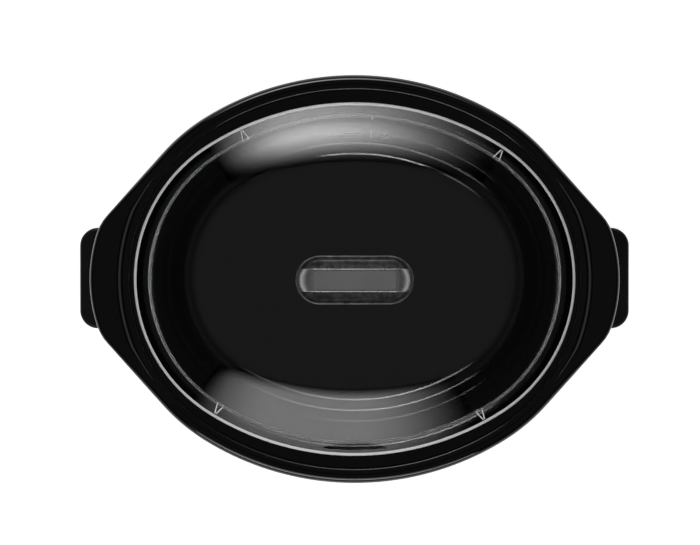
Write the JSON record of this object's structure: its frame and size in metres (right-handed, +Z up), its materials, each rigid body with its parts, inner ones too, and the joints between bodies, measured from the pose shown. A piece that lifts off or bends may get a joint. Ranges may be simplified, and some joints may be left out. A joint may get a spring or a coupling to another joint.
{
  "type": "slow cooker",
  "caption": "Oval slow cooker: drum base with heated pan and rotary switch, lift-out black glazed crock with lifting ears, and a domed glass lid with a bar handle.",
  "frame": {"origin": "on the surface under the feet, below the middle of the cooker", "axes": "+X along the cooker's length to the right, +Y to the back, +Z up; the control faces -Y"},
  "size_m": [0.41, 0.307, 0.228],
  "materials": {
    "glazed_stoneware": "gloss",
    "tempered_glass": "clear, polished",
    "grip_metal": "satin, dark",
    "inlay_metal": "fine satin, dark",
    "dish_plastic": "satin",
    "silicone": "matte",
    "black_plastic": "fine grain",
    "knob_plastic": "satin",
    "housing_steel": "brushed round the drum",
    "bright_trim": "polished",
    "pan_aluminium": "plain rolled",
    "band_wrap": "foil jacket",
    "fastener_steel": "zinc plated",
    "white_marks": "printed",
    "switch_plastic": "moulded",
    "lens_amber": "clear amber",
    "brass": "plain",
    "terminal_ceramic": "unglazed",
    "brown_lead": "matte",
    "red_lead": "matte",
    "blue_lead": "matte"
  },
  "bodies": {
    "base": {"base_pan": "black_plastic", "foot_front_left": "silicone", "foot_front_right": "silicone", "foot_rear_left": "silicone", "foot_rear_right": "silicone", "base_screws": "fastener_steel", "housing": "housing_steel", "top_ring": "black_plastic", "heater_pan": "pan_aluminium", "heater_band": "band_wrap", "band_clamp": "fastener_steel", "clamp_screw": "fastener_steel", "heat_shield": "pan_aluminium", "center_stud": "fastener_steel", "center_washer": "fastener_steel", "center_nut": "fastener_steel", "thermal_fuse": "terminal_ceramic", "fuse_clip": "fastener_steel", "left_handle": "black_plastic", "right_handle": "black_plastic", "left_handle_trim": "bright_trim", "right_handle_trim": "bright_trim", "left_handle_screws": "fastener_steel", "right_handle_screws": "fastener_steel", "control_panel": "black_plastic", "position_marks": "white_marks", "panel_rivets": "fastener_steel", "switch_body": "switch_plastic", "switch_nut": "fastener_steel", "lamp_lens": "lens_amber", "lamp_body": "brass", "cord_gland": "black_plastic", "gland_nut": "fastener_steel", "terminal_block": "terminal_ceramic", "terminal_screws": "brass", "switch_lead": "brown_lead", "lamp_lead": "red_lead", "return_lead": "blue_lead"},
    "crock": {"crock": "glazed_stoneware"},
    "lid": {"lid_glass": "tempered_glass", "handle_gasket": "silicone", "handle_dish": "dish_plastic", "handle_bar": "grip_metal", "handle_inlay": "inlay_metal", "lid_screws": "fastener_steel", "lid_washers": "fastener_steel"},
    "knob": {"knob": "knob_plastic", "knob_pointer": "white_marks", "switch_shaft": "fastener_steel"}
  },
  "joints": [
    {"name": "crock_lift", "type": "slide", "parent": "base", "child": "crock", "axis": [0, 0, 1], "range_m": [0, 0.2]},
    {"name": "lid_lift", "type": "slide", "parent": "crock", "child": "lid", "axis": [0, 0, 1], "range_m": [0, 0.12]},
    {"name": "knob_turn", "type": "hinge", "parent": "base", "child": "knob", "pos_m": [0, -0.145, 0.059], "axis": [0, 1, 0], "range_deg": [0, 180]}
  ]
}
